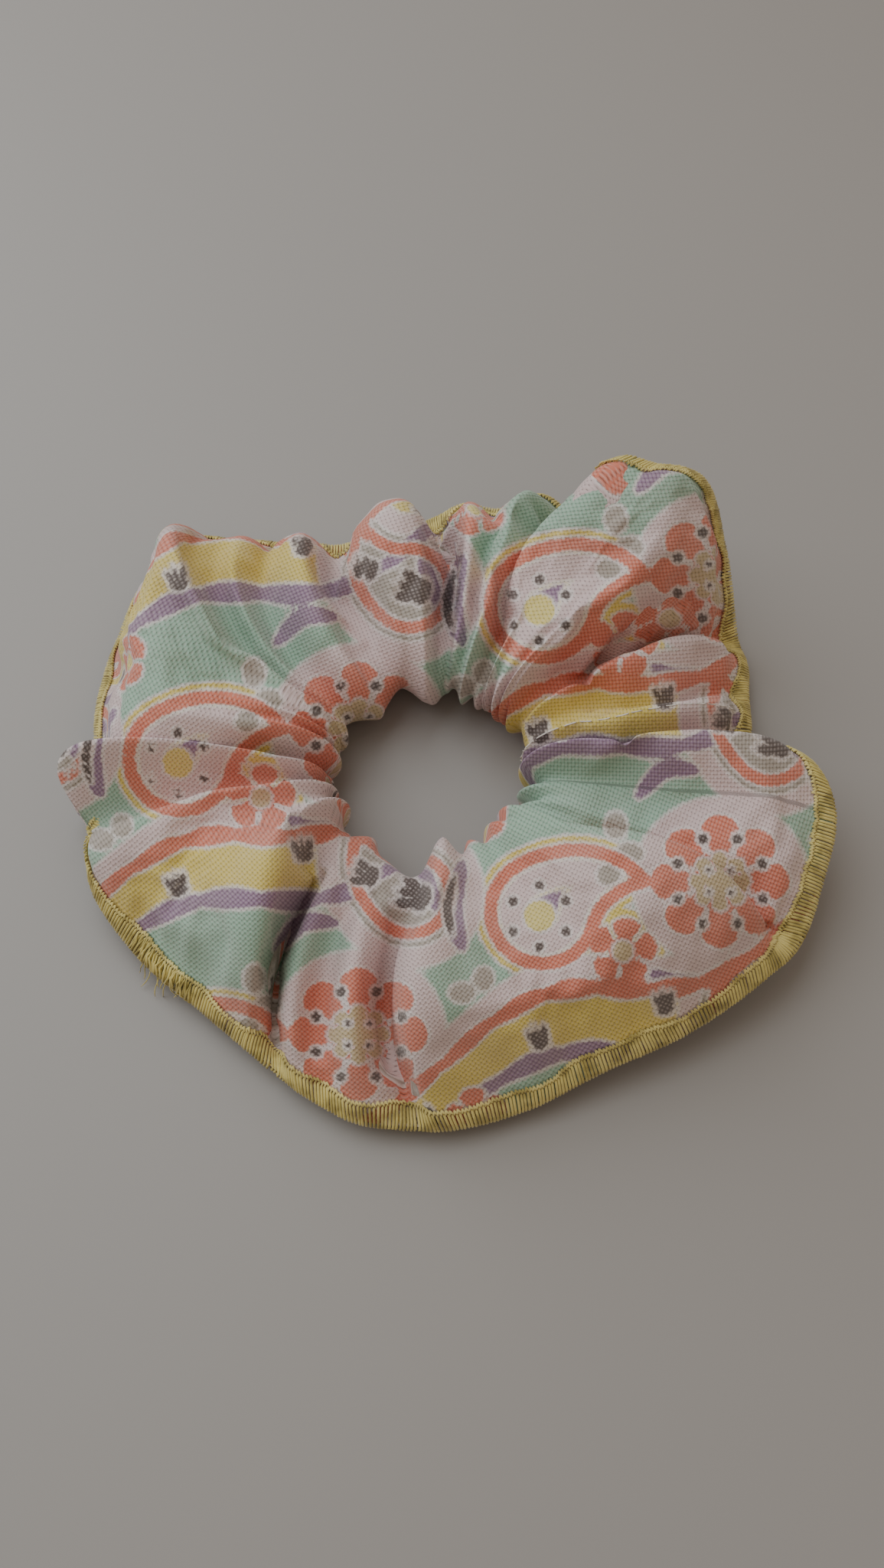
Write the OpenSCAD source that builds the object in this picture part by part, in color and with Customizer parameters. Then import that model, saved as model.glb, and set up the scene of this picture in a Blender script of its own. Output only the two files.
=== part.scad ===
// Ruffled hair scrunchie: printed cotton cover, overlocked outer edge, elastic loop inside.
// Millimetres, +Z up, origin on the table under the middle of the ponytail hole.

/* [Overall] */
// Outside diameter across the ruffles
outer_d = 110; // [80:1:150]
// Diameter of the ponytail hole at rest
hole_d = 28; // [20:0.5:40]
// Height of the tallest ruffle above the table
ruffle_h = 32; // [20:1:45]

/* [Cover] */
// Thickness of one cover wall
cloth_t = 0.9; // [0.6:0.1:1.5]
// Height of the gathered core around the elastic
core_h = 15; // [12:0.5:20]
// Number of gathers round the hole
gathers = 36; // [24:4:40]
// Depth of the gathers
gather_depth = 1.8; // [1:0.1:2.4]

/* [Overlock] */
// Width of the overlocked edge
bite = 3; // [2:0.1:4]
// Thread thickness
thread_d = 0.6; // [0.4:0.05:0.8]
// Free length of the thread tails
tail_len = 4; // [2:0.5:8]

/* [Elastic] */
// Diameter of the elastic loop at its inner face
elastic_ring_d = 40; // [36:0.5:50]
// Width of the elastic
elastic_w = 6; // [4:0.5:8]
// Thickness of the elastic
elastic_t = 1.2; // [0.8:0.1:1.6]
// Length of the overlapped join
lap_len = 10; // [6:0.5:14]

/* [Hidden] */

steps = gathers * 4;
hole_r = hole_d / 2;
out_r = outer_d / 2;
thr = thread_d / 2;
gap = 0.35;
core_z = core_h / 2;
elastic_r = elastic_ring_d / 2;
core_r = elastic_r + elastic_t;
seam_deg = 12;
join_deg = 250;
tail_deg = 219;

// Ruffle stations, one every 10 degrees from +X: edge radius, edge height, crest height.
edge_share = [0.96, 0.89, 0.96, 1.01, 1.04, 0.95, 0.98, 0.99, 0.92, 0.91, 0.91, 0.90,
  1.00, 1.13, 1.12, 1.04, 0.96, 0.95, 0.97, 0.96, 0.93, 0.89, 0.86, 0.84,
  0.85, 0.88, 0.91, 0.92, 0.92, 0.89, 0.88, 0.92, 0.97, 1.00, 1.00, 0.99];
edge_z_share = [0.34, 0.18, 0.13, 0.14, 0.50, 0.86, 0.36, 0.27, 0.30, 0.24, 0.14, 0.10,
  0.10, 0.10, 0.13, 0.14, 0.13, 0.12, 0.22, 0.26, 0.20, 0.13, 0.10, 0.10,
  0.10, 0.10, 0.10, 0.10, 0.12, 0.15, 0.17, 0.19, 0.22, 0.25, 0.30, 0.38];
crest_share = [0.62, 0.44, 0.34, 0.42, 0.78, 0.98, 0.74, 0.42, 0.66, 0.46, 0.68, 0.44,
  0.56, 0.46, 0.74, 0.84, 0.70, 0.38, 0.46, 0.66, 0.58, 0.64, 0.56, 0.62,
  0.38, 0.34, 0.46, 0.34, 0.46, 0.66, 0.56, 0.66, 0.72, 0.42, 0.56, 0.68];

function pick(t, k) = t[(k + 72) % 36];
function spline(t, k, f) =
  let (a = pick(t, k - 1), b = pick(t, k), c = pick(t, k + 1), d = pick(t, k + 2))
  b + 0.5 * f * (c - a + f * (2 * a - 5 * b + 4 * c - d + f * (3 * (b - c) + d - a)));
function at(t, deg) =
  let (u = ((deg % 360) + 360) % 360 / 10, k = floor(u))
  spline(t, k, u - k);

function edge_r(a) = out_r * at(edge_share, a);
function edge_z(a) = max(bite, ruffle_h * at(edge_z_share, a));
function crest_z(a) = ruffle_h * at(crest_share, a);
function slope(a) = (edge_z(a + 1) - edge_z(a - 1)) / (edge_r(a) * PI / 90);
function lean(a) = sqrt(1 + slope(a) * slope(a));

function wave(a) = cos(gathers * a);
function wall_r(a) = hole_r - 0.8 + gather_depth * (0.5 - 0.5 * wave(a));
function body_r(a, s) = core_r + (edge_r(a) - bite - core_r) * s;
function top_z(a, s) =
  core_h * (1 - s) * (1 - s)
  + 2 * s * (1 - s) * (2 * crest_z(a) - 0.5 * core_h - 0.5 * edge_z(a) - cloth_t)
  + (edge_z(a) + cloth_t) * s * s;
function thick(a, s) =
  let (mid = max(9, 0.5 * crest_z(a)))
  core_h * (1 - s) * (1 - s) + 2 * s * (1 - s) * mid + 2 * cloth_t * s * s;
function low_z(a, s) = max(0, top_z(a, s) - thick(a, s));
function ripple(a, s) = 0.5 * gather_depth * wave(a) * (1 - s) * (1 - s);

function at_angle(a, r, z) = [r * cos(a), r * sin(a), z];

// Closed ring of cross-sections: n sections of m points each, joined into one skin.
function ring_faces(n, m) = [
  for (i = [0 : n - 1])
    for (j = [0 : m - 1])
      let (p = i * m + j, q = i * m + (j + 1) % m,
        r = ((i + 1) % n) * m + j, s = ((i + 1) % n) * m + (j + 1) % m)
      each [[p, r, q], [q, r, s]]];

body_s = [0.18, 0.36, 0.54, 0.72, 0.88];

function cover_section(a) =
  let (w = wall_r(a), e = edge_r(a), z = edge_z(a))
  concat(
    [[w, core_z - 3], [w, core_z + 3], [w + 2.2, core_h - 1 + ripple(a, 0)],
      [core_r, core_h + ripple(a, 0)]],
    [for (s = body_s) [body_r(a, s), top_z(a, s) + ripple(a, s)]],
    [[e - bite, z + cloth_t], [e, z + 0.2], [e, z - 0.2], [e - bite, z - cloth_t]],
    [for (i = [4 : -1 : 0])
      [body_r(a, body_s[i]), low_z(a, body_s[i])]],
    [[core_r, 0], [hole_r + 3.2, 0]]);

cave_r = hole_r + 2.6;
cave_s = [body_s[0], body_s[1], body_s[2]];
cave_end = body_s[3];

function cave_section(a) =
  let (w = cloth_t + 0.5 * gather_depth, e = body_r(a, cave_end))
  concat(
    [[cave_r, core_z - 2.6], [cave_r, core_z + 2.6], [cave_r + 1.6, core_h - w - 1],
      [core_r, core_h - w]],
    [for (s = cave_s) [body_r(a, s), top_z(a, s) - w]],
    [[e, 0.5 * (top_z(a, cave_end) + low_z(a, cave_end))]],
    [for (i = [2 : -1 : 0])
      [body_r(a, cave_s[i]), low_z(a, cave_s[i]) + cloth_t]],
    [[core_r, cloth_t], [cave_r + 1.6, cloth_t]]);

module ring_solid(sections, degs) {
  n = len(sections);
  m = len(sections[0]);
  pts = [for (i = [0 : n - 1]) for (p = sections[i]) at_angle(degs[i], p[0], p[1])];
  polyhedron(points = pts, faces = ring_faces(n, m), convexity = 12);
}

// Thread laid along a closed or open path, five-sided.
module thread(path, r, closed = true) {
  n = len(path);
  m = 5;
  function p(i) = closed ? path[(i + n) % n] : path[max(0, min(n - 1, i))];
  function unit(v) = v / max(norm(v), 0.0001);
  frames = [for (i = [0 : n - 1])
    let (t = unit(p(i + 1) - p(i - 1)), side = unit(cross(t, [0, 0, 1])),
      up = cross(side, t))
    [side, up]];
  pts = [for (i = [0 : n - 1]) for (j = [0 : m - 1])
    path[i] + r * (cos(j * 72) * frames[i][0] + sin(j * 72) * frames[i][1])];
  last = closed ? n - 1 : n - 2;
  skin = [for (i = [0 : last]) for (j = [0 : m - 1])
    let (a = i * m + j, b = i * m + (j + 1) % m,
      c = ((i + 1) % n) * m + j, d = ((i + 1) % n) * m + (j + 1) % m)
    each [[a, b, c], [b, d, c]]];
  caps = closed ? [] : [[for (j = [m - 1 : -1 : 0]) j],
    [for (j = [0 : m - 1]) (n - 1) * m + j]];
  polyhedron(points = pts, faces = concat(skin, caps), convexity = 12);
}

// Fabric strip folded round the elastic, edges together, closed into a ring.
module fabric_cover() {
  degs = [for (i = [0 : steps - 1]) i * 360 / steps];
  color([0.66, 0.82, 0.76])
  difference() {
    ring_solid([for (a = degs) cover_section(a)], degs);
    ring_solid([for (a = degs) cave_section(a)], degs);
    translate([0, 0, -1])
    cylinder(h = core_h + 20, r = hole_r);
  }
}

// Straight stitches that join the two short ends, on the inside of the cover.
module closing_seam_stitches() {
  a = seam_deg;
  w = cloth_t + 0.5 * gather_depth + gap + thr + 0.3;
  top = [for (s = [0.55, 0.45, 0.35, 0.25, 0.15, 0.05])
    at_angle(a, body_r(a, s), top_z(a, s) - w)];
  inner = [at_angle(a, core_r - 1.5, core_h - w - 0.4),
    at_angle(a, cave_r + 0.9, core_z + 2.6), at_angle(a, cave_r + 0.9, core_z - 2.6)];
  low = [for (s = [0.02, 0.15, 0.25, 0.35, 0.45, 0.55])
    at_angle(a, body_r(a, s), low_z(a, s) + cloth_t + gap + thr + 0.1)];
  color([0.93, 0.91, 0.88])
  thread(concat(top, inner, low), thr, false);
}

function stitch_top(a, back) = at_angle(a, edge_r(a) - back,
  edge_z(a) + (cloth_t + gap + thr + 0.2) * lean(a));

// Needle thread: the line of lock points along the inner side of the overlock.
module needle_thread() {
  path = [for (i = [0 : steps - 1]) stitch_top(i * 360 / steps, bite - 0.3)];
  color([0.86, 0.80, 0.42])
  thread(path, thr);
}

function looper_path(side) = [
  for (i = [0 : steps - 1])
    let (a = i * 360 / steps, b = a + 180 / steps,
      off = (cloth_t + gap + thr + 0.2))
    each [at_angle(a, edge_r(a) - bite + 0.7 + 2 * thr + gap, edge_z(a) + side * off * lean(a)),
      at_angle(b, edge_r(b) + gap + thr, edge_z(b) + side * (gap + 1.2 * thr) * lean(b))]];

// Upper looper thread: bars over the upper layer from the needle line to the edge.
module upper_looper_thread() {
  color([0.88, 0.83, 0.45])
  thread(looper_path(1), thr);
}

// Lower looper thread: the same bars on the underside.
module lower_looper_thread() {
  color([0.84, 0.78, 0.40])
  thread(looper_path(-1), thr);
}

// Cut ends of the overlock threads where the sewing started and stopped.
module thread_tails() {
  color([0.90, 0.85, 0.48])
  for (k = [0 : 2]) {
    a = tail_deg + 2.2 * k;
    e = edge_r(a) + 2 * gap + 2 * thr;
    z = edge_z(a);
    reach = tail_len * (1 - 0.2 * k);
    thread([at_angle(a, e, z), at_angle(a + 0.6, e + reach / 2, z - 0.4),
      at_angle(a + 1.4, e + reach, z - 0.2)], thr, false);
  }
}

lap_deg = lap_len / (elastic_r + elastic_t) * 180 / PI;

// Flat elastic bent into a loop, its ends lapped.
module elastic_loop() {
  color([0.95, 0.94, 0.90])
  union() {
    translate([0, 0, core_z - elastic_w / 2])
    rotate_extrude($fn = 96)
    translate([elastic_r, 0])
    square([elastic_t, elastic_w]);
    translate([0, 0, core_z - elastic_w / 2])
    rotate([0, 0, join_deg - lap_deg / 2])
    rotate_extrude(angle = lap_deg, $fn = 96)
    translate([elastic_r + elastic_t / 2, 0])
    square([elastic_t * 1.5, elastic_w]);
  }
}

// Zigzag that holds the lapped ends.
module elastic_join_stitches() {
  r = elastic_r + 2 * elastic_t + gap + thr;
  half = elastic_w / 2 - 0.8;
  path = [for (i = [0 : 12])
    at_angle(join_deg - lap_deg * 0.35 + i * lap_deg * 0.7 / 12, r,
      core_z + (i % 2 == 0 ? half : -half))];
  color([0.25, 0.25, 0.27])
  thread(path, thr, false);
}

fabric_cover();
closing_seam_stitches();
needle_thread();
upper_looper_thread();
lower_looper_thread();
thread_tails();
elastic_loop();
elastic_join_stitches();
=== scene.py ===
"""Ruffled hair scrunchie of printed cotton, with an overlocked edge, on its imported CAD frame."""

import math

import bmesh
import bpy
import numpy as np
from mathutils import Matrix, Vector


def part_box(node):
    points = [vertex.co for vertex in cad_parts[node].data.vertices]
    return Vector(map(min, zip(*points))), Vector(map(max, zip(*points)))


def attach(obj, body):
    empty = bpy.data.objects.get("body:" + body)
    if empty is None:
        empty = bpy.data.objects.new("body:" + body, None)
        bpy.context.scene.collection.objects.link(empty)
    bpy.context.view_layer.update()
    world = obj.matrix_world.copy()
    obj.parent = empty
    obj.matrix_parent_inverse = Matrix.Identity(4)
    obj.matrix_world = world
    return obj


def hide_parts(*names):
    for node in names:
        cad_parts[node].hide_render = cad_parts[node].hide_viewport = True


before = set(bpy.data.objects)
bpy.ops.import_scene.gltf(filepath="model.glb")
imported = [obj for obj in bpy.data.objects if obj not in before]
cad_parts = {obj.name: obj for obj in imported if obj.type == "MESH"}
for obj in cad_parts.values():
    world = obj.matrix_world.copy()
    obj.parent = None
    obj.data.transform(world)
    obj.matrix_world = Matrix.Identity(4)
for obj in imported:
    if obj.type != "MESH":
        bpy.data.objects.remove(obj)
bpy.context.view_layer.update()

# ---------------------------------------------------------------- camera
# The viewer looks down at 60 degrees from the front, 170 mm from the piece, and everything is
# in sharp focus.
MM = 0.001
VIEW_TILT = 60
VIEW_REACH = 170
camera_data = bpy.data.cameras.new("view")
camera_data.sensor_fit = "VERTICAL"
camera_data.sensor_height = 36.0
camera_data.lens = 27.15
camera_data.clip_start = 0.01
camera_data.clip_end = 20.0
camera_data.dof.use_dof = False
camera = bpy.data.objects.new("view", camera_data)
bpy.context.collection.objects.link(camera)
aim = Vector((1.6, -2.4, 8.0)) * MM
tilt = math.radians(VIEW_TILT)
camera.location = aim + VIEW_REACH * MM * Vector((0, -math.cos(tilt), math.sin(tilt)))
camera.rotation_euler = (aim - camera.location).to_track_quat("-Z", "Y").to_euler()
bpy.context.scene.camera = camera


# ---------------------------------------------------------------- fabric cover
# One strip of printed cotton, its short ends joined and its long edges brought together round
# the outside. The elastic in the fold gathers it, so it falls into deep ruffles.
# Stations along the strip, anticlockwise from +X: edge angle, edge radius, edge height,
# height half way in, angle at the elastic, lean of the fold, and how far it bellies out over
# its own edge (mm, degrees).
RUFFLES = (
    (-10, 56, 13, 13, -13, 0, 0), (-2, 53, 13, 19, -4, 0, 0), (6, 48, 6, 5, 3, -2, 0),
    (12, 49, 5, 15, 10, 0, 0), (18, 51, 4, 7, 18, 0, 0), (24, 54, 3, 15, 27, 0, 0),
    (30, 56, 3, 4, 35, 0, 0), (38, 58, 13, 23, 40, -3, 0), (43, 55, 27, 27, 44, 0, 0),
    (49, 49, 31, 27, 48, 0, 0), (55, 47, 30, 25, 52, 4, 0), (61, 51, 12, 15, 57, 6, 0),
    (63, 54, 6, 4, 60, 0, 0), (70, 54, 10, 19, 68, 2, 0), (77, 50, 9, 14, 73, 0, 0),
    (84, 50, 9, 17, 79, 0, 0), (89, 50, 6, 5, 84, 0, 0), (95, 50, 3, 20, 93, 0, 0),
    (103, 49, 3, 20, 105, 0, 0), (109, 49, 3, 6, 117, 0, 0), (114, 51, 3, 17, 132, 0, 0),
    (118, 54, 2, 10, 146, 0, 0), (121, 56, 2, 16, 152, 0, 0), (125, 58, 3, 15, 158, 0, 0),
    (132, 60, 6, 25, 163, 0, 0), (142, 59, 5, 21, 166, 0, 0),
    (152, 56, 4, 21, 170, 0, 0), (164, 53, 4, 19, 174, 0, 0), (173, 50, 5, 17, 179, 3, 0),
    (180, 46, 4, 3, 184, 0, 4), (187, 46, 4, 17, 188, -6, 12), (193, 48, 5, 6, 191, -3, 7),
    (200, 50, 5, 14, 195, 0, 3),
    (213, 48, 3, 12, 202, 0, 0), (226, 46, 3, 15, 209, 0, 0), (236, 46, 3, 18, 216, 6, 0),
    (244, 47, 3, 2, 225, 0, 0), (249, 48, 3, 11, 234, 0, 0), (254, 49, 3, 6, 242, 0, 0),
    (260, 50, 3, 11, 250, 0, 0), (267, 50, 3, 3, 262, 0, 0), (273, 50, 3, 18, 272, -5, 0),
    (285, 49, 3, 16, 284, 0, 0), (298, 48.5, 5, 16, 297, 0, 0), (312, 51, 6, 20, 309, 0, 0),
    (324, 54, 8, 21, 317, 7, 0), (331, 56, 8, 7, 325, 0, 0), (340, 56, 10, 13, 336, 0, 0),
)
STRIP_W = 92.0
# where the wrap round the elastic starts across the strip, and its radius
CORE_V = 36.0
CORE_R = 20.6
PLEATS = 26
# how far the overlock reaches in from the raw edge
BITE = 2.8
# the lowest the cloth lies, so that its thread stays on the floor
LOWEST = 0.85


def closed_curve(knots, values, span, u):
    """Smooth periodic curve through values at knots, one column per value."""
    n = len(knots)
    at = np.concatenate([knots[-2:] - span, knots, knots[:3] + span])
    val = np.concatenate([values[-2:], values, values[:3]])
    u = np.mod(u - knots[0], span) + knots[0]
    k = np.clip(np.searchsorted(at, u, side="right") - 1, 1, len(at) - 3)
    h = (at[k + 1] - at[k])[:, None]
    t = ((u - at[k]) / (at[k + 1] - at[k]))[:, None]
    m0 = (val[k + 1] - val[k - 1]) / (at[k + 1] - at[k - 1])[:, None] * h
    m1 = (val[k + 2] - val[k]) / (at[k + 2] - at[k])[:, None] * h
    return ((2 * t**3 - 3 * t**2 + 1) * val[k] + (t**3 - 2 * t**2 + t) * m0
            + (3 * t**2 - 2 * t**3) * val[k + 1] + (t**3 - t**2) * m1)


def ruffle_table(points=4000):
    """The stations as a fine table, against the length run along the edge, in mm."""
    rows = np.array(RUFFLES, float)
    turn = np.unwrap(np.radians(rows[:, 0]))
    core = np.unwrap(np.radians(rows[:, 4]))
    k = np.arange(len(rows), dtype=float)
    drift = np.stack([turn - k / len(rows) * 2 * np.pi, core - k / len(rows) * 2 * np.pi], 1)
    values = np.concatenate([drift, rows[:, 1:4], rows[:, 5:]], 1)
    at = np.linspace(0, len(rows), points, endpoint=False)
    fine = closed_curve(k, values, len(rows), at)
    lap = at / len(rows) * 2 * np.pi
    edge_turn, core_turn = fine[:, 0] + lap, fine[:, 1] + lap
    edge = np.stack([fine[:, 2] * np.cos(edge_turn), fine[:, 2] * np.sin(edge_turn), fine[:, 3]], 1)
    run = np.linalg.norm(np.roll(edge, -1, 0) - edge, axis=1)
    length = run.sum()
    return np.concatenate([[0], np.cumsum(run)[:-1]]), length, edge_turn, core_turn, fine[:, 2:]


def sculpt(cells_u, cells_v):
    """Grid of the gathered strip, and the length of its edge."""
    run, length, edge_turn, core_turn, rest = ruffle_table()
    u = np.arange(cells_u) * length / cells_u
    pick = lambda column: np.interp(u, run, column)
    turn_s, turn_c = pick(edge_turn)[:, None], pick(core_turn)[:, None]
    edge_r, edge_z, mid_z, lean, belly = (pick(rest[:, i])[:, None] for i in range(5))
    v = np.linspace(0, STRIP_W, cells_v + 1)
    side = np.where(v <= STRIP_W / 2, 1.0, -1.0)[None, :]
    inward = np.minimum(v, STRIP_W - v)[None, :]
    s = np.clip(1 - inward / CORE_V, 0, 1)

    lap = 2 * np.pi * u / length
    ripple = np.cos(PLEATS * lap + 2.2 * np.sin(3 * lap + 1) + 1.4 * np.sin(7 * lap))[:, None]
    ripple = ripple * (0.75 + 0.25 * np.sin(5 * lap + 2))[:, None]
    # the fold hangs over the elastic, high in the ruffles and low between them
    top = 11.5 + np.clip(mid_z - 11.5, 0, 8) * 0.95 + 0.35 * ripple
    reach = 4.6 + 2.4 * np.sqrt(np.clip((mid_z - 2.0) / 18, 0.0, 1.1)) + 0.45 * ripple

    def arch(start, middle, end, s):
        crown = (8 * middle - start - end) / 6
        first = (start + crown) / 2
        second = (8 * middle - start - 3 * first - end) / 3
        return ((1 - s)**3 * start + 3 * s * (1 - s)**2 * first
                + 3 * s**2 * (1 - s) * second + s**3 * end)

    upper = arch(top, mid_z + 1.5, edge_z + 0.5, s)
    lower = arch(0.9 + 0 * top, 0.3 * mid_z + 0.5 * edge_z, edge_z - 0.5, s)
    turn = turn_c + (turn_s - turn_c) * s + np.radians(lean) * 4 * s * (1 - s)
    radius = CORE_R + (edge_r - CORE_R) * s + belly * 6.75 * s * s * (1 - s)
    height = np.where(side > 0, upper, lower)
    # round the elastic and into the hole
    wrap = np.clip((v - CORE_V) / (STRIP_W - 2 * CORE_V), 0, 1)[None, :] * np.pi
    inside = (inward > CORE_V)
    bottom = 0.9
    radius = np.where(inside, CORE_R - reach * np.sin(wrap), radius)
    height = np.where(inside, (top + bottom) / 2 + (top - bottom) / 2 * np.cos(wrap), height)
    deep = np.clip((v - CORE_V + 2) / 14, 0, 1) * np.clip((STRIP_W - v) / 30, 0, 1)
    # where the strip is gathered tightest the pleats in the hole are small and blunt
    spread = np.gradient(turn_c[:, 0]) * cells_u / (2 * np.pi)
    for _ in range(4):
        spread = (np.roll(spread, 1) + 2 * spread + np.roll(spread, -1)) / 4
    blunt = np.clip(spread, 0.12, 1.0)[:, None]
    radius = radius - 1.5 * ripple * blunt * deep[None, :]
    grid = np.stack([radius * np.cos(turn), radius * np.sin(turn), height], -1)
    # soften the change of curve beside the elastic
    for _ in range(3):
        grid[:, 2:-2] = (grid[:, 1:-3] + 2 * grid[:, 2:-2] + grid[:, 3:-1]) / 4
    grid[..., 2] = np.maximum(grid[..., 2], 0.6)
    return grid, length, v


def strip_mesh(name, grid):
    """Quads over a grid that is closed along its first axis."""
    nu, nv = grid.shape[:2]
    index = np.arange(nu * nv).reshape(nu, nv)
    nxt = np.roll(index, -1, 0)
    faces = np.stack([index[:, :-1], index[:, 1:], nxt[:, 1:], nxt[:, :-1]], -1).reshape(-1, 4)
    mesh = bpy.data.meshes.new(name)
    mesh.from_pydata(grid.reshape(-1, 3).tolist(), [], faces.tolist())
    mesh.update()
    obj = bpy.data.objects.new(name, mesh)
    bpy.context.collection.objects.link(obj)
    return obj


# cloth settles steadily at this many units to the millimetre
SIM_SCALE = 0.02
SETTLING_FRAMES = 12


def relax(grid, v, frames):
    """Lets the strip settle as cloth: it takes its cut size back, held at the edge and the fold."""
    nu, nv = grid.shape[:2]
    obj = strip_mesh("settling", grid * SIM_SCALE)
    inward = np.minimum(v, STRIP_W - v)
    hold = np.full((nu, nv), 0.06)
    hold[:, inward <= 2.0] = 1.0
    hold[:, inward >= CORE_V - 2] = 1.0
    group = obj.vertex_groups.new(name="hold")
    flat_hold = hold.reshape(-1)
    for weight in np.unique(flat_hold):
        group.add(np.nonzero(flat_hold == weight)[0].tolist(), float(weight), "REPLACE")
    cloth = obj.modifiers.new("cloth", "CLOTH")
    s = cloth.settings
    s.quality = 6
    s.mass = 0.3
    s.tension_stiffness = 15
    s.compression_stiffness = 15
    s.shear_stiffness = 5
    s.bending_stiffness = 4.0
    s.tension_damping = 10
    s.compression_damping = 10
    s.shear_damping = 10
    s.bending_damping = 2
    s.air_damping = 2
    s.vertex_group_mass = "hold"
    s.pin_stiffness = 1.0
    s.shrink_min = -0.05
    s.use_pressure = True
    s.uniform_pressure_force = 0.25
    s.effector_weights.gravity = 0.3
    c = cloth.collision_settings
    c.collision_quality = 3
    c.use_collision = True
    c.distance_min = 0.006
    bpy.ops.mesh.primitive_plane_add(size=6)
    table = bpy.context.object
    table.modifiers.new("collision", "COLLISION")
    table.collision.thickness_outer = 0.006
    scene = bpy.context.scene
    scene.frame_start, scene.frame_end = 1, frames
    cloth.point_cache.frame_start = 1
    cloth.point_cache.frame_end = frames
    for number in range(1, frames + 1):
        scene.frame_set(number)
    settled = obj.evaluated_get(bpy.context.evaluated_depsgraph_get())
    out = np.empty(nu * nv * 3, np.float32)
    settled.data.vertices.foreach_get("co", out)
    scene.frame_set(1)
    bpy.data.objects.remove(obj)
    bpy.data.objects.remove(table)
    return out.reshape(nu, nv, 3).astype(float) / SIM_SCALE


def finer(grid, times, closed):
    """The same surface with more rows, smoothly filled in; along the first axis."""
    first = grid[-1:] if closed else 2 * grid[:1] - grid[1:2]
    last = grid[:2] if closed else 2 * grid[-1:] - grid[-2:-1]
    q = np.concatenate([first, grid, last])
    count = len(grid) if closed else len(grid) - 1
    a, b, c, d = (q[i:i + count] for i in range(4))
    rows = []
    for t in np.arange(times) / times:
        rows.append(0.5 * (2 * b + (c - a) * t + (2 * a - 5 * b + 4 * c - d) * t**2
                           + (3 * b - a - 3 * c + d) * t**3))
    out = np.stack(rows, 1).reshape((-1,) + grid.shape[1:])
    return out if closed else np.concatenate([out, grid[-1:]])


def press_edge(grid, v):
    """The two layers pressed flat together where the overlock holds them."""
    rows = int(np.sum(v <= 8.0))
    inward = v[:rows][None, :, None]
    upper, lower = grid[:, :rows], grid[:, ::-1][:, :rows]
    middle, half = (upper + lower) / 2, (upper - lower) / 2
    anchor = int(np.argmin(np.abs(v - 4.5)))
    straight = middle[:, :1] + (middle[:, anchor:anchor + 1] - middle[:, :1]) * inward / v[anchor]
    hold = np.clip((6.5 - inward) / 3.5, 0, 1)
    hold = hold * hold * (3 - 2 * hold)
    middle = middle * (1 - hold) + straight * hold
    size = np.linalg.norm(half, axis=-1, keepdims=True) + 1e-6
    half = half * (1 - hold) + half / size * 0.32 * hold
    grid[:, :rows] = middle + half
    grid[:, -rows:] = (middle - half)[:, ::-1]
    return grid


# The print is a half-drop repeat of plain stock ornament, in mm: scalloped bands, curled drops, round
# flowers, leaves, dots and tulips. Kinds: wave (width, height, sway, scallops), drop (centre,
# head, turn), ring (width, how far in, then the drop), bloom and spot (centre, half sizes, a
# count of petals, turn), pips (centre, circle, count, size), tulip (centre, size, turn) and leaf
# (width, points).
REPEAT_W, REPEAT_H = 52.0, 44.0
ARTWORK = {
    "yellow": (
        ("wave", 8.0, 0.0, 4.0, 0), ("drop", 14, 25, 9.5, 55), ("spot", 26, 20, 6, 6, 0),
        ("drop", 40, 52, 4.5, 200)),
    "pale": (
        ("wave", 3.4, 6.2, 4.0, 0), ("spot", 40, 30, 12.5, 12, 0), ("ring", 3.4, 5.2, 14, 25, 9.5, 55),
        ("ring", 3.0, -1.6, 48, 50, 7.5, 165)),
    "grey": (
        ("drop", 48, 50, 7.5, 165), ("spot", 24, 31, 1.7, 1.4, 20), ("spot", 27, 34, 1.9, 1.5, 0),
        ("spot", 25, 38, 1.5, 1.9, 0), ("spot", 3, 14, 1.8, 1.4, 0), ("spot", 6, 16, 1.4, 1.6, 0)),
    "lilac": (
        ("wave", 2.2, -5.6, 4.0, 6), ("leaf", 3.0, 3, 20, 1.5, 26, 3, 33),
        ("leaf", 2.6, 1, 25, -2, 29, -2.5, 34), ("leaf", 2.6, 28, 42, 32, 46, 37, 46),
        ("leaf", 2.4, 30, 17, 33, 15.6, 37, 16), ("ring", 1.6, 8.4, 14, 25, 9.5, 55)),
    "coral": (
        ("wave", 2.2, 3.6, 4.0, 7), ("ring", 1.9, 2.0, 14, 25, 9.5, 55), ("ring", 1.7, 1.8, 48, 50, 7.5, 165),
        ("bloom", 40, 30, 9.6, 9.2, 8, 0), ("bloom", 26, 20, 4.8, 4.6, 5, 10),
        ("bloom", 5, 40, 4.4, 4.2, 5, 30)),
    "cream": (("bloom", 40, 30, 4.2, 4.0, 8, 0), ("spot", 26, 20, 1.4, 1.4, 0)),
    "straw": (("spot", 14, 25, 2.2, 2.2, 0), ("spot", 5, 40, 1.3, 1.3, 0)),
    "dark": (
        ("pips", 40, 30, 6.6, 8, 0.75), ("pips", 40, 30, 2.2, 4, 0.45), ("tulip", 48, 50, 2.6, 70),
        ("tulip", 41, 53, 2.0, 70), ("tulip", 14, 7.4, 1.7, 20), ("tulip", 32, 12.4, 1.7, 10),
        ("tulip", 50, 17.6, 1.7, 40),
        ("pips", 14, 25, 4.4, 6, 0.7), ("leaf", 1.3, 1.5, 22, 0.8, 26, 1.8, 31)),
}


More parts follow.
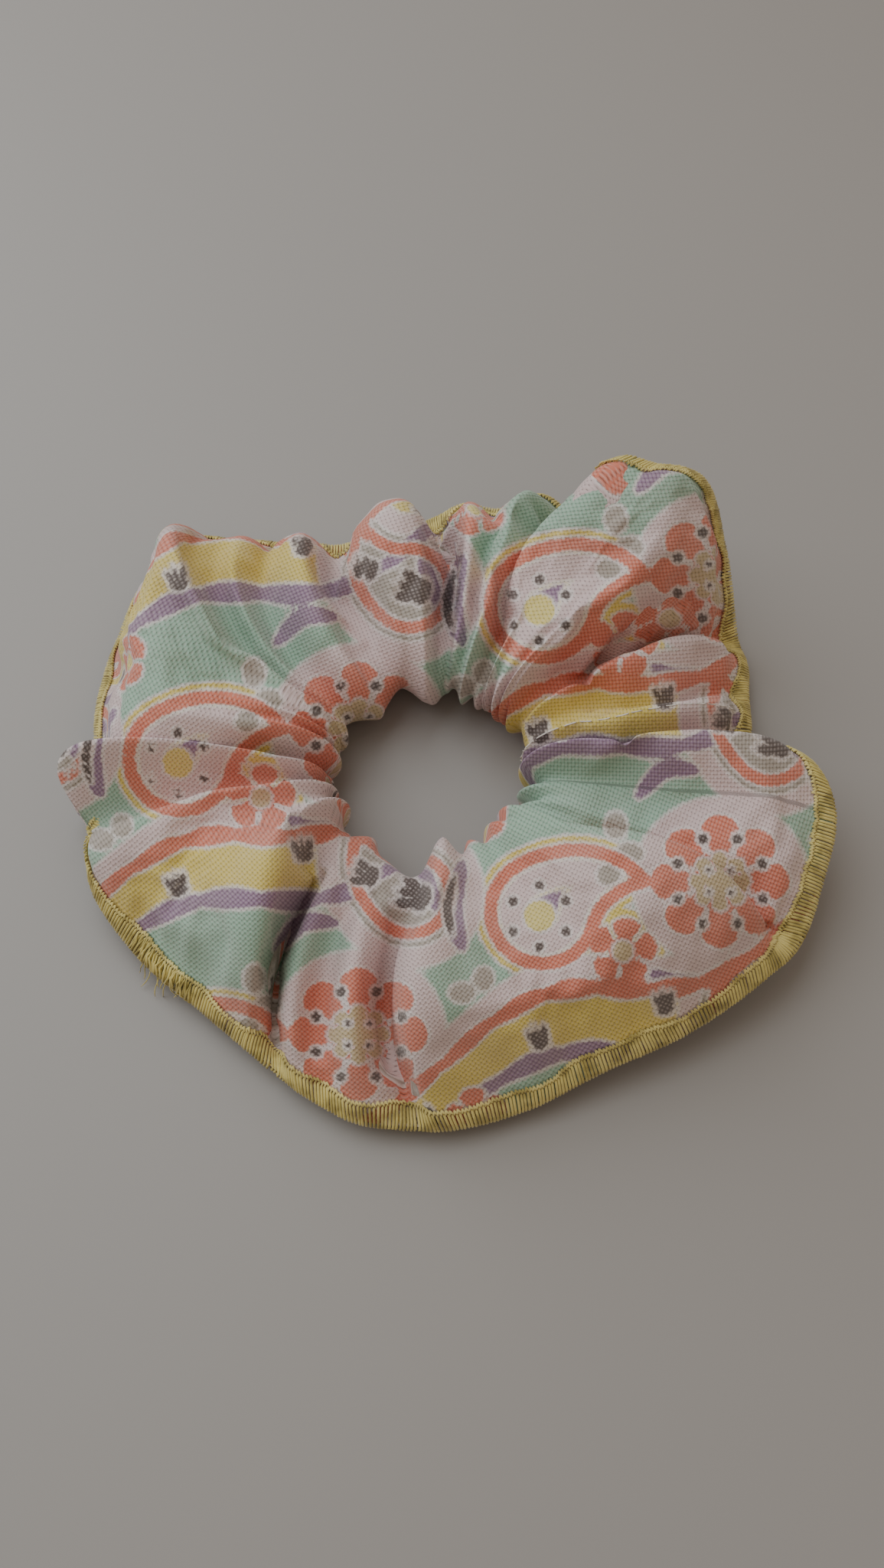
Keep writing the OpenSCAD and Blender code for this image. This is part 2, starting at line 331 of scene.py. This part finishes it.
def outline(points):
    """Smooth curve through points, finely stepped."""
    p = np.array(points, float).reshape(-1, 2)
    q = np.concatenate([2 * p[:1] - p[1:2], p, 2 * p[-1:] - p[-2:-1]])
    t = np.linspace(0, 1, 16, endpoint=False)[:, None]
    steps = [0.5 * (2 * b + (c - a) * t + (2 * a - 5 * b + 4 * c - d) * t**2 + (3 * b - a - 3 * c + d) * t**3)
             for a, b, c, d in zip(q[:-3], q[1:-2], q[2:-1], q[3:])]
    return np.concatenate(steps + [p[-1:]])


def depth_in(shape, x, y):
    """How far each point lies inside a printed shape, in mm; negative outside."""
    kind, sizes = shape[0], shape[1:]
    if kind == "wave":
        width, height, sway, scallops = sizes
        lap = 2 * np.pi * x / REPEAT_W
        middle = height + x / REPEAT_W * REPEAT_H / 2 + sway * np.sin(lap)
        half = width / 2 * (1 if scallops == 0 else 0.7 + 0.5 * np.abs(np.sin(lap * scallops / 2)))
        return half - np.abs(y - middle) * 0.9
    if kind == "ring":
        return sizes[0] / 2 - np.abs(depth_in(("drop",) + sizes[2:], x, y) - sizes[1])
    if kind == "drop":
        # a round head and a tail that narrows as it curls over
        cx, cy, head, turn = sizes
        t = np.linspace(0, 1, 24)
        lean = np.radians(turn) - 1.5 * t
        step = 2.1 * head / len(t)
        spine_x, spine_y = cx + np.cumsum(np.cos(lean)) * step, cy + np.cumsum(np.sin(lean)) * step
        inside = [head * (1 - part)**0.8 - np.hypot(x - px, y - py)
                  for part, px, py in zip(t, spine_x, spine_y)]
        return np.max(inside, axis=0)
    if kind == "pips":
        cx, cy, circle, count, size = sizes
        around = np.arctan2(y - cy, x - cx) % (2 * np.pi / count) - np.pi / count
        reach = np.hypot(x - cx, y - cy)
        return size - np.hypot(reach * np.cos(around) - circle, reach * np.sin(around))
    if kind in ("spot", "bloom"):
        cx, cy, a, b, turn = sizes[0], sizes[1], sizes[2], sizes[3], math.radians(sizes[-1])
        px = (x - cx) * math.cos(turn) + (y - cy) * math.sin(turn)
        py = -(x - cx) * math.sin(turn) + (y - cy) * math.cos(turn)
        reach = np.hypot(px / a, py / b)
        if kind == "spot":
            return (1 - reach) * min(a, b)
        part = np.abs(np.cos(sizes[4] * np.arctan2(py / b, px / a) / 2))
        petal = (0.8 + 0.24 * part**0.7 - reach) * min(a, b)
        gap = part * np.clip(reach - 0.3, 0, 1) * 6 - 0.5 - np.clip(reach - 0.5, 0, 1)
        return np.minimum(petal, gap + (reach < 0.42))
    if kind == "tulip":
        cx, cy, r, turn = sizes
        parts = (("spot", 0, -0.45, 0.75, 0.5, 0), ("spot", -0.55, 0.3, 0.32, 0.62, 18),
                 ("spot", 0.55, 0.3, 0.32, 0.62, -18), ("spot", 0, 0.35, 0.25, 0.6, 0))
        c, s = math.cos(math.radians(turn)), math.sin(math.radians(turn))
        px, py = ((x - cx) * c + (y - cy) * s) / r, (-(x - cx) * s + (y - cy) * c) / r
        return np.max([depth_in(part, px, py) for part in parts], axis=0) * r
    curve = outline(sizes[1:])
    t = np.linspace(0, 1, len(curve))
    half = sizes[0] / 2 * np.sqrt(4 * t * (1 - t))
    return np.max([size - np.hypot(x - px, y - py) for size, (px, py) in zip(half, curve)], axis=0)


def ink_depths(x, y):
    """One field per ink: how far inside the ink each point of the cloth lies."""
    across = np.floor(x / REPEAT_W)
    x, y = x - across * REPEAT_W, y - across * REPEAT_H / 2
    y = y - np.floor((y - x / REPEAT_W * REPEAT_H / 2) / REPEAT_H) * REPEAT_H
    copies = [(x - i * REPEAT_W, y - (i / 2 + j) * REPEAT_H) for i in (-1, 0, 1) for j in (-1, 0, 1)]
    return {ink: np.max([depth_in(shape, px, py) for shape in shapes for px, py in copies], axis=0)
            for ink, shapes in ARTWORK.items()}


def lay_artwork(grid):
    """Where each point of the cloth falls on the print, in mm: laid flat to the viewer, and kept near
    true size over the folds."""
    up = np.array((0, math.sin(tilt), math.cos(tilt)))
    toward = np.array((0, -math.cos(tilt), math.sin(tilt)))
    p = grid - np.array(aim) / MM
    flat = np.stack([p[..., 0], p @ up], -1) * (VIEW_REACH / (VIEW_REACH - p @ toward))[..., None]
    start = int(grid.shape[1] * 0.28)
    true = np.linalg.norm(np.diff(grid, axis=1), axis=-1)[..., None]
    out = flat.copy()
    lean = flat[:, 0] - flat[:, start]
    lean /= np.linalg.norm(lean, axis=-1, keepdims=True)
    for j in range(start, 0, -1):
        move = flat[:, j - 1] - flat[:, j]
        seen = np.clip(((move * lean).sum(-1, keepdims=True) / true[:, j - 1] - 0.14) / 0.22, 0, 1)
        out[:, j - 1] = out[:, j] + move * seen + lean * true[:, j - 1] * (1 - seen)
    for j in range(start, grid.shape[1] - 1):
        move = flat[:, j + 1] - flat[:, j]
        seen = np.clip((-(move * lean).sum(-1, keepdims=True) / true[:, j] - 0.14) / 0.22, 0, 1)
        out[:, j + 1] = out[:, j] + move * seen - lean * true[:, j] * (1 - seen)
    shift = out - flat
    for _ in range(8):
        shift = (np.roll(shift, 1, 0) + 2 * shift + np.roll(shift, -1, 0)) / 4
    return flat + shift


class Wire:
    """A shader value that takes part in sums."""

    def __init__(self, finish, socket):
        self.finish, self.socket = finish, socket

    def math(self, operation, *values):
        sockets = {0: self, **{i + 1: value for i, value in enumerate(values)}}
        return self.finish.node("ShaderNodeMath", {"operation": operation}, sockets)[0]

    def __add__(self, other):
        return self.math("ADD", other)

    def __sub__(self, other):
        return self.math("SUBTRACT", other)

    def __rsub__(self, other):
        return (self * -1.0) + other

    def __mul__(self, other):
        return self.math("MULTIPLY", other)

    __radd__, __rmul__ = __add__, __mul__

    def __abs__(self):
        return self.math("ABSOLUTE")

    def sine(self):
        return self.math("SINE")

    def between(self, low, high):
        """0 up to low, 1 from high on, and smooth in between."""
        return self.finish.node("ShaderNodeMapRange", {"interpolation_type": "SMOOTHSTEP"},
                                {0: self, 1: low, 2: high})[0]


class Finish:
    """A material with its shader, and the nodes that feed it."""

    def __init__(self, name, **constants):
        self.material = bpy.data.materials.new(name)
        self.material.use_nodes = True
        self.tree = self.material.node_tree
        self.shader = self.tree.nodes["Principled BSDF"]
        for socket, value in constants.items():
            self.shader.inputs[socket.replace("_", " ")].default_value = value

    def node(self, kind, settings, sockets):
        """Adds a node, sets it, fills its sockets, and gives its outputs."""
        made = self.tree.nodes.new(kind)
        for key, value in settings.items():
            setattr(made, key, value)
        for key, value in sockets.items():
            if isinstance(value, Wire):
                self.tree.links.new(value.socket, made.inputs[key])
            else:
                made.inputs[key].default_value = value
        return [Wire(self, socket) for socket in made.outputs]

    def attribute(self, name):
        return self.node("ShaderNodeAttribute", {"attribute_name": name}, {})

    def place(self):
        return self.node("ShaderNodeTexCoord", {}, {})[3]

    def noise(self, where, scale, detail=2.0):
        return self.node("ShaderNodeTexNoise", {}, {"Vector": where, "Scale": scale, "Detail": detail})[0]

    def mix(self, below, above, amount):
        """One colour over another by an amount."""
        return self.node("ShaderNodeMix", {"data_type": "RGBA"},
                         {0: amount, 6: below, 7: above})[2]

    def bump(self, height, strength, distance):
        return self.node("ShaderNodeBump", {}, {"Height": height, "Strength": strength,
                                                "Distance": distance})[0]

    def feed(self, **links):
        for socket, wire in links.items():
            self.tree.links.new(wire.socket, self.shader.inputs[socket.replace("_", " ")])
        return self.material


def dye(code):
    """A hexadecimal colour as linear values."""
    parts = [int(code[i:i + 2], 16) / 255 for i in (0, 2, 4)]
    return [((c + 0.055) / 1.055)**2.4 if c > 0.04045 else c / 12.92 for c in parts] + [1.0]


# inks in printing order, then the dyed ground and the pale line that each ink leaves round itself, which is
# also the colour of the painted highlight on the thread crossings
INKS = (("yellow", "E2CA60"), ("pale", "DEC6C6"), ("grey", "ADA398"), ("lilac", "967796"),
        ("coral", "DE7A60"), ("cream", "CDB88E"), ("straw", "E6D47C"), ("dark", "584A46"))
GROUND = "9ABEA8"
PALE_RESIST_AND_HIGHLIGHT = "EAE0DE"
THREAD_PITCH = 0.5


def printed_cotton():
    """Plain-weave cotton, printed with dyes that soften at the threads, with painted shade in the small gaps
    between the threads and a painted highlight on the thread crossings.
    """
    cotton = Finish("printed_cotton", Roughness=0.9, Sheen_Weight=0.25, Sheen_Roughness=0.5,
                    Specular_IOR_Level=0.25)
    across = cotton.node("ShaderNodeSeparateXYZ", {}, {0: cotton.attribute("weave")[1]})
    place = cotton.place()
    waver = cotton.noise(place, 900.0) - 0.5
    slub = cotton.noise(place, 2600.0, 3.0) - 0.5
    turns = math.pi / THREAD_PITCH
    warp = (across[0] * turns + waver * 1.2).sine()
    weft = (across[1] * turns + waver * 1.4).sine()
    gap_shade_mask = (1 - abs(warp)) * (1 - abs(weft))
    # mask for a painted highlight where the threads cross over on top
    over = (abs(warp) * abs(weft)).between(0.35, 0.95)
    height = (abs(warp) + abs(weft)) * 0.5 + warp * weft * 0.3 + slub * 0.5
    colour = dye(GROUND)
    bleed = waver * 0.45 + warp * weft * 0.1 + slub * 0.3
    for ink, code in INKS:
        depth = cotton.attribute("ink_" + ink)[2] + bleed
        colour = cotton.mix(colour, dye(PALE_RESIST_AND_HIGHLIGHT), depth.between(-0.7, -0.15) * 0.85)
        colour = cotton.mix(colour, dye(code), depth.between(-0.22, 0.2))
    fade = cotton.noise(place, 90.0, 3.0).between(0.35, 0.75)
    # faded patches and slubs pale the print at random, and the thread crossings get a painted highlight
    colour = cotton.mix(colour, dye(PALE_RESIST_AND_HIGHLIGHT), fade * 0.1 + over * 0.22 + (slub + 0.5) * 0.08)
    # painted shade: the gaps between the threads darken toward near black, along with random darker slubs
    shade = gap_shade_mask.between(0.2, 0.8) * 0.62 + slub * 0.14 + 0.03
    colour = cotton.mix(colour, (0.075, 0.06, 0.05, 1), shade)
    relief = cotton.bump(height, 0.7, 0.00014)
    return cotton.feed(Base_Color=colour, Roughness=0.84 + slub * 0.12, Normal=relief)


grid, length, v = sculpt(210, 50)
grid = relax(grid, v, SETTLING_FRAMES)
grid = finer(grid, 3, True)
grid = finer(grid.swapaxes(0, 1), 3, False).swapaxes(0, 1)
v = np.linspace(0, STRIP_W, grid.shape[1])
grid = press_edge(grid, v)
grid[..., 2] = np.maximum(grid[..., 2], LOWEST)
cover = strip_mesh("cotton_cover", grid * MM)
cover.data.shade_smooth()
art = lay_artwork(grid)
swing = np.unwrap(np.arctan2(grid[:, 0, 1], grid[:, 0, 0]))[:, None] * 0.2
weave = np.stack([art[..., 0] * np.cos(swing) + art[..., 1] * np.sin(swing),
                  art[..., 1] * np.cos(swing) - art[..., 0] * np.sin(swing), 0 * art[..., 0]], -1)
cover.data.attributes.new("weave", "FLOAT_VECTOR", "POINT").data.foreach_set("vector", weave.reshape(-1))
for ink, depth in ink_depths(art[..., 0].reshape(-1), art[..., 1].reshape(-1)).items():
    cover.data.attributes.new("ink_" + ink, "FLOAT", "POINT").data.foreach_set("value", depth)
cover.data.materials.append(printed_cotton())
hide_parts("fabric_cover")
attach(cover, "cover")


# ---------------------------------------------------------------- overlocked edge
# Three cotton threads of an overlock machine bind the two raw edges: a needle thread through
# both layers, and an upper and a lower looper thread that lace over the edge.
STITCH_PITCH = 0.48
THREAD_R = 0.175
# the looper threads are bulked, the needle thread is drawn tight
LOOPER_R = THREAD_R * 1.12
NEEDLE_R = THREAD_R * 0.85


def tube(path, radius, sides=6):
    """A closed thread along points, as vertices and faces."""
    path = np.array(path, float)
    along = np.gradient(path, axis=0)
    along /= np.linalg.norm(along, axis=1, keepdims=True)
    side = np.cross(along, (0.31, 0.17, 0.94))
    side /= np.linalg.norm(side, axis=1, keepdims=True)
    other = np.cross(along, side)
    turn = np.arange(sides) * 2 * np.pi / sides
    ring = np.cos(turn)[None, :, None] * side[:, None] + np.sin(turn)[None, :, None] * other[:, None]
    size = np.full(len(path), radius)
    size[[0, -1]] = radius * 0.55
    verts = (path[:, None] + ring * size[:, None, None]).reshape(-1, 3)
    faces = []
    for i in range(0, (len(path) - 1) * sides, sides):
        for j in range(sides):
            k = (j + 1) % sides
            faces.append((i + j, i + k, i + sides + k, i + sides + j))
    faces.append(tuple(range(sides))[::-1])
    faces.append(tuple((len(path) - 1) * sides + j for j in range(sides)))
    return verts, faces


def solid(name, tubes):
    """One object from several threads, in mm, with its faces pointing out."""
    verts, faces, first = [], [], 0
    for v_part, f_part in tubes:
        verts.append(v_part)
        faces += [tuple(first + i for i in face) for face in f_part]
        first += len(v_part)
    mesh = bpy.data.meshes.new(name)
    mesh.from_pydata((np.concatenate(verts) * MM).tolist(), [], faces)
    work = bmesh.new()
    work.from_mesh(mesh)
    bmesh.ops.recalc_face_normals(work, faces=work.faces)
    work.to_mesh(mesh)
    work.free()
    mesh.shade_smooth()
    obj = bpy.data.objects.new(name, mesh)
    bpy.context.collection.objects.link(obj)
    return obj


def stitch_row():
    """A node tree that sets a stitch on every point, turned and sized as the point says."""
    tree = bpy.data.node_groups.new("row of stitches", "GeometryNodeTree")
    face = tree.interface
    face.new_socket(name="Places", in_out="INPUT", socket_type="NodeSocketGeometry")
    face.new_socket(name="Stitch", in_out="INPUT", socket_type="NodeSocketObject")
    face.new_socket(name="Thread", in_out="INPUT", socket_type="NodeSocketMaterial")
    face.new_socket(name="Unevenness", in_out="INPUT", socket_type="NodeSocketFloat")
    face.new_socket(name="Row", in_out="OUTPUT", socket_type="NodeSocketGeometry")
    made = {}
    for key, kind in (("in", "NodeGroupInput"), ("out", "NodeGroupOutput"),
                      ("shape", "GeometryNodeObjectInfo"), ("turn", "GeometryNodeInputNamedAttribute"),
                      ("size", "FunctionNodeRandomValue"), ("low", "ShaderNodeMath"),
                      ("high", "ShaderNodeMath"), ("euler", "FunctionNodeEulerToRotation"),
                      ("set", "GeometryNodeInstanceOnPoints"), ("real", "GeometryNodeRealizeInstances"),
                      ("dress", "GeometryNodeSetMaterial")):
        made[key] = tree.nodes.new(kind)
    made["turn"].data_type = "FLOAT_VECTOR"
    made["turn"].inputs["Name"].default_value = "turn"
    made["low"].operation, made["high"].operation = "SUBTRACT", "ADD"
    made["low"].inputs[0].default_value = made["high"].inputs[0].default_value = 1.0
    seed = [socket for socket in made["size"].inputs if socket.name == "Seed"][0]
    seed.default_value = 7
    turn_out = [socket for socket in made["turn"].outputs if socket.enabled][0]
    low_in, high_in = [s for s in made["size"].inputs if s.enabled and s.name in ("Min", "Max")]
    size_out = [socket for socket in made["size"].outputs if socket.enabled][0]
    for a, b in ((made["in"].outputs["Stitch"], made["shape"].inputs["Object"]),
                 (made["in"].outputs["Unevenness"], made["low"].inputs[1]),
                 (made["in"].outputs["Unevenness"], made["high"].inputs[1]),
                 (made["low"].outputs[0], low_in), (made["high"].outputs[0], high_in),
                 (turn_out, made["euler"].inputs[0]),
                 (made["in"].outputs["Places"], made["set"].inputs["Points"]),
                 (made["shape"].outputs["Geometry"], made["set"].inputs["Instance"]),
                 (made["euler"].outputs[0], made["set"].inputs["Rotation"]),
                 (size_out, made["set"].inputs["Scale"]),
                 (made["set"].outputs[0], made["real"].inputs[0]),
                 (made["real"].outputs[0], made["dress"].inputs["Geometry"]),
                 (made["in"].outputs["Thread"], made["dress"].inputs["Material"]),
                 (made["dress"].outputs[0], made["out"].inputs[0])):
        tree.links.new(a, b)
    return tree


ROW = stitch_row()


def sew(name, stitch, places, axes, thread, uneven):
    """A row of stitches at places, in mm, each with its along, out and up axes."""
    mesh = bpy.data.meshes.new(name)
    mesh.from_pydata((places * MM).tolist(), [], [])
    turns = np.array([Matrix(a.T.tolist()).to_euler() for a in axes])
    mesh.attributes.new("turn", "FLOAT_VECTOR", "POINT").data.foreach_set("vector", turns.reshape(-1))
    points = bpy.data.objects.new(name, mesh)
    bpy.context.collection.objects.link(points)
    row = points.modifiers.new("row", "NODES")
    row.node_group = ROW
    for item in ROW.interface.items_tree:
        value = {"Stitch": stitch, "Thread": thread, "Unevenness": uneven}.get(item.name)
        if value is not None:
            row[item.identifier] = value
    ready = points.evaluated_get(bpy.context.evaluated_depsgraph_get())
    made = bpy.data.meshes.new_from_object(ready)
    made.name = name
    made.shade_smooth()
    bpy.data.objects.remove(points)
    bpy.data.objects.remove(stitch)
    piece = bpy.data.objects.new(name, made)
    bpy.context.collection.objects.link(piece)
    return piece


def spun_thread(name, bright, deep):
    """Spun cotton thread: fibres and a soft shine, paler in patches."""
    thread = Finish(name, Roughness=0.6, Sheen_Weight=0.3, Specular_IOR_Level=0.4)
    place = thread.place()
    fibre = thread.noise(place, 5200.0, 3.0)
    patch = thread.noise(place, 420.0)
    colour = thread.mix(dye(deep), dye(bright), patch.between(0.3, 0.62) * 0.7 + fibre * 0.45)
    relief = thread.bump(fibre, 0.5, 0.00005)
    return thread.feed(Base_Color=colour, Roughness=0.5 + fibre * 0.3, Normal=relief)


count = int(round(length / STITCH_PITCH))
edge_mid = (grid[:, 0] + grid[:, -1]) / 2
inner_row = int(np.argmin(np.abs(v - BITE)))
inner_mid = (grid[:, inner_row] + grid[:, -1 - inner_row]) / 2
face_up = grid[:, inner_row] - grid[:, -1 - inner_row]
wander = np.random.default_rng(11)
at = (np.arange(count) + wander.uniform(-0.1, 0.1, count)) / count * len(grid)


def along_edge(rows, at):
    low = np.floor(at).astype(int) % len(rows)
    part = (at - np.floor(at))[:, None]
    return rows[low] * (1 - part) + rows[(low + 1) % len(rows)] * part


place = along_edge(edge_mid, at)
ahead = along_edge(edge_mid, at - 1.0) - along_edge(edge_mid, at + 1.0)
out = place - along_edge(inner_mid, at)
up = along_edge(face_up, at)


def unit(rows):
    return rows / np.linalg.norm(rows, axis=-1, keepdims=True)


out = unit(out)
ahead = unit(ahead - (ahead * out).sum(-1, keepdims=True) * out)
rise = np.cross(ahead, out)
rise *= np.sign((rise * up).sum(-1, keepdims=True))
ahead = np.cross(out, rise)
axes = np.stack([ahead, out, rise], 1)

upper_path = [(-0.06, -2.75, 0.36), (-0.02, -2.4, 0.6), (0.02, -1.3, 0.62), (0.05, -0.3, 0.58),
              (0.12, 0.26, 0.3), (0.2, 0.3, -0.06)]
upper = solid("upper_looper", [tube(upper_path, LOOPER_R)])
gold = spun_thread("yellow_looper_thread", "E6D684", "8F7D38")
over = sew("upper_looper_row", upper, place, axes, gold, 0.06)
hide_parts("upper_looper_thread")
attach(over, "cover")

lower_path = [(0.3, 0.3, 0.12), (0.24, 0.3, -0.25), (0.12, -0.3, -0.58), (0.04, -1.3, -0.62),
              (0.0, -2.4, -0.6), (0.0, -2.75, -0.36)]
lower = solid("lower_looper", [tube(lower_path, LOOPER_R)])
under = sew("lower_looper_row", lower, place, axes, gold, 0.06)
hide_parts("lower_looper_thread")
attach(under, "cover")

needle = solid("needle_stitch", [
    tube([(-0.3, -2.62, 0.62), (-0.14, -2.9, 0.66), (0.02, -3.12, 0.5), (0.04, -3.16, 0.3)], NEEDLE_R, 5),
    tube([(0.28, -2.62, 0.62), (0.16, -2.9, 0.66), (0.08, -3.12, 0.5), (0.06, -3.16, 0.3)], NEEDLE_R, 5),
    tube([(-0.24, -2.8, -0.62), (0.0, -2.86, -0.68), (0.24, -2.8, -0.62)], NEEDLE_R, 5)])
binding = spun_thread("yellow_needle_thread", "EBDC90", "A08E42")
seam = sew("needle_row", needle, place, axes, binding, 0.05)
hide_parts("needle_thread")
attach(seam, "cover")

# ---------------------------------------------------------------- thread tails
# The overlock's start and finish run over each other, and the cut threads are left as a
# frayed tuft that hangs out of the edge.
TAIL_DEG = 219.0
TAILS = 9
TANGLE = 26
turn_now = np.degrees(np.arctan2(place[:, 1], place[:, 0])) % 360
root = int(np.argmin(np.abs(turn_now - TAIL_DEG)))
strands = []
for k in range(TAILS):
    base = root + int(round((k - TAILS / 2) * 1.6))
    reach, drift, sag = wander.uniform(1.5, 4.6), wander.uniform(-1.8, 1.8), wander.uniform(0.2, 1.2)
    t = np.linspace(0, 1, 7)[:, None]
    strands.append(tube(place[base] + out[base] * (0.1 + reach * t) + ahead[base] * (drift * t * t)
                        + rise[base] * (0.15 - sag * t * t + 0.25 * np.sin(5 * t + k)), 0.075, 5))
for k in range(TANGLE):
    base = root + k - TANGLE // 2
    start = -2.7 + wander.uniform(-0.2, 0.3)
    path = [(wander.uniform(-0.5, 0.5), start, 0.75), (wander.uniform(-0.5, 0.5), -1.4, 1.0),
            (wander.uniform(-0.4, 0.4), 0.0, 0.8), (wander.uniform(-0.6, 0.6), 0.5, 0.1)]
    path = np.array(path)
    strands.append(tube(place[base] + path[:, :1] * ahead[base] + path[:, 1:2] * out[base]
                        + path[:, 2:] * rise[base], 0.16, 5))
tails = solid("frayed_tails", strands)
tails.data.materials.append(gold)
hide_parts("thread_tails")
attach(tails, "cover")

# ---------------------------------------------------------------- closing seam
# The short ends of the strip are joined by a straight row of white lockstitches, face to face,
# before the strip is folded round the elastic.
SEAM_DEG = 12.0
SEAM_STITCH = 2.4
turn_now = np.degrees(np.arctan2(grid[:, 0, 1], grid[:, 0, 0]))
seam_row = int(np.argmin(np.abs(turn_now - SEAM_DEG)))
line = grid[seam_row, 6:-6]
run = np.concatenate([[0], np.cumsum(np.linalg.norm(np.diff(line, axis=0), axis=1))])
where = np.searchsorted(run, np.arange(SEAM_STITCH / 2, run[-1], SEAM_STITCH))
where = where[(where > 1) & (where < len(line) - 2)]
along = unit(line[where + 1] - line[where - 1])
beside = unit(grid[seam_row + 1, 6:-6][where] - grid[seam_row - 1, 6:-6][where])
beside = unit(beside - (beside * along).sum(-1, keepdims=True) * along)
lift = np.cross(along, beside)
lock_path = [(-0.85, 0, -0.14), (-0.6, 0, 0.03), (0, 0, 0.09), (0.6, 0, 0.03), (0.85, 0, -0.14)]
lock = solid("lock_stitch", [tube(lock_path, 0.11)])
white = spun_thread("white_thread", "EFE9E2", "C9C2BA")
closing = sew("closing_seam", lock, line[where], np.stack([along, beside, lift], 1), white, 0.08)
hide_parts("closing_seam_stitches")
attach(closing, "cover")
length * MM

# ---------------------------------------------------------------- elastic
# A narrow braided elastic, closed into a ring by lapping its ends. It lies loose in the fold.
low, high = (np.array(corner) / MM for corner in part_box("elastic_loop"))
BAND_R = (high[0] - low[0]) / 2 - 0.8
BAND_HALF = (high[2] - low[2]) / 2 - 0.15
BAND_MID = (high[2] + low[2]) / 2
JOIN_DEG = 250.0
LAP_DEG = 28.0
RIBS = 9


def braided_band():
    """The elastic's ring: ribs along it, and a second layer where the ends lap."""
    steps, ring = 360, 40
    turn = np.arange(steps) * 2 * np.pi / steps
    lap = np.clip((LAP_DEG / 2 - np.abs(np.degrees(turn) - JOIN_DEG)) / 2, 0, 1)
    t = np.arange(ring) * 2 * np.pi / ring
    height = BAND_HALF * np.sign(np.sin(t)) * np.abs(np.sin(t))**0.5
    outer = np.sign(np.cos(t)) * np.abs(np.cos(t))**0.35
    rib = 0.06 * np.cos(height / BAND_HALF * RIBS * np.pi)
    braid_wave = 0.03 * np.sin(turn[:, None] * 160 + height[None, :] * 6)
    thick = 0.45 + 0.35 * lap[:, None] + rib[None, :] + braid_wave
    r = BAND_R + thick * outer[None, :]
    verts = np.stack([r * np.cos(turn)[:, None], r * np.sin(turn)[:, None],
                      np.broadcast_to(BAND_MID + height, r.shape)], -1)
    index = np.arange(steps * ring).reshape(steps, ring)
    nxt, side = np.roll(index, -1, 0), np.roll(index, -1, 1)
    faces = np.stack([index, nxt, np.roll(nxt, -1, 1), side], -1).reshape(-1, 4)
    return verts.reshape(-1, 3), [tuple(f) for f in faces.tolist()]


band = solid("braided_elastic", [braided_band()])
rubber = Finish("elastic", Roughness=0.7, Sheen_Weight=0.2)
place_in = rubber.place()
braid = rubber.node("ShaderNodeTexWave", {"wave_type": "BANDS", "bands_direction": "DIAGONAL"},
                    {"Vector": place_in, "Scale": 700.0, "Distortion": 2.0})[1]
grain = rubber.noise(place_in, 3000.0)
band.data.materials.append(rubber.feed(
    Base_Color=rubber.mix(dye("D8D3C6"), dye("F5F2EA"), braid * 0.6 + grain * 0.4),
    Roughness=0.6 + grain * 0.3, Normal=rubber.bump(braid + grain * 0.4, 0.5, 0.0001)))
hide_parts("elastic_loop")
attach(band, "elastic")

# A zigzag of dark thread through both layers of the lap closes the ring.
ZIGZAGS = 14
turn = np.radians(JOIN_DEG + np.linspace(-0.4, 0.4, ZIGZAGS) * LAP_DEG)
r = BAND_R + 0.88
spots = np.stack([r * np.cos(turn), r * np.sin(turn), 0 * turn + BAND_MID], 1)
radial = np.stack([np.cos(turn), np.sin(turn), 0 * turn], 1)
round_way = np.stack([np.sin(turn), -np.cos(turn), 0 * turn], 1)
straight_up = np.stack([0 * turn, 0 * turn, 1 + 0 * turn], 1)
zig_path = [(-0.35, -1.7, -0.1), (-0.3, -1.5, 0.06), (0.0, 0.0, 0.1), (0.3, 1.5, 0.06), (0.35, 1.7, -0.1)]
zig = solid("zigzag_stitch", [tube(zig_path, 0.12)])
dusk = spun_thread("dark_thread", "3A383B", "1F1E20")
join = sew("elastic_join", zig, spots, np.stack([round_way, straight_up, radial], 1), dusk, 0.05)
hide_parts("elastic_join_stitches")
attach(join, "elastic")

# ---------------------------------------------------------------- floor and light
# A plain matt floor, one large soft lamp up at the left like a window, and a warm, even room
# light that fills the shadows.
bpy.ops.mesh.primitive_plane_add(size=3)
floor = bpy.context.object
floor.name = "floor"
floor_mat = bpy.data.materials.new("floor")
floor_mat.use_nodes = True
floor_mat.node_tree.nodes["Principled BSDF"].inputs["Base Color"].default_value = (0.36, 0.34, 0.33, 1)
floor.data.materials.append(floor_mat)


def area_light(name, place, size, watts, colour):
    data = bpy.data.lights.new(name, "AREA")
    data.size = size
    data.energy = watts
    data.color = colour
    lamp = bpy.data.objects.new(name, data)
    lamp.location = place
    lamp.rotation_euler = (-Vector(place)).to_track_quat("-Z", "Y").to_euler()
    bpy.context.collection.objects.link(lamp)


area_light("window", (-0.22, 0.14, 0.34), 0.55, 1.86, (0.79, 0.88, 0.93))
world = bpy.data.worlds.new("room")
bpy.context.scene.world = world
world.use_nodes = True
world.node_tree.nodes["Background"].inputs["Color"].default_value = (0.42, 0.355, 0.285, 1)
world.node_tree.nodes["Background"].inputs["Strength"].default_value = 1.0
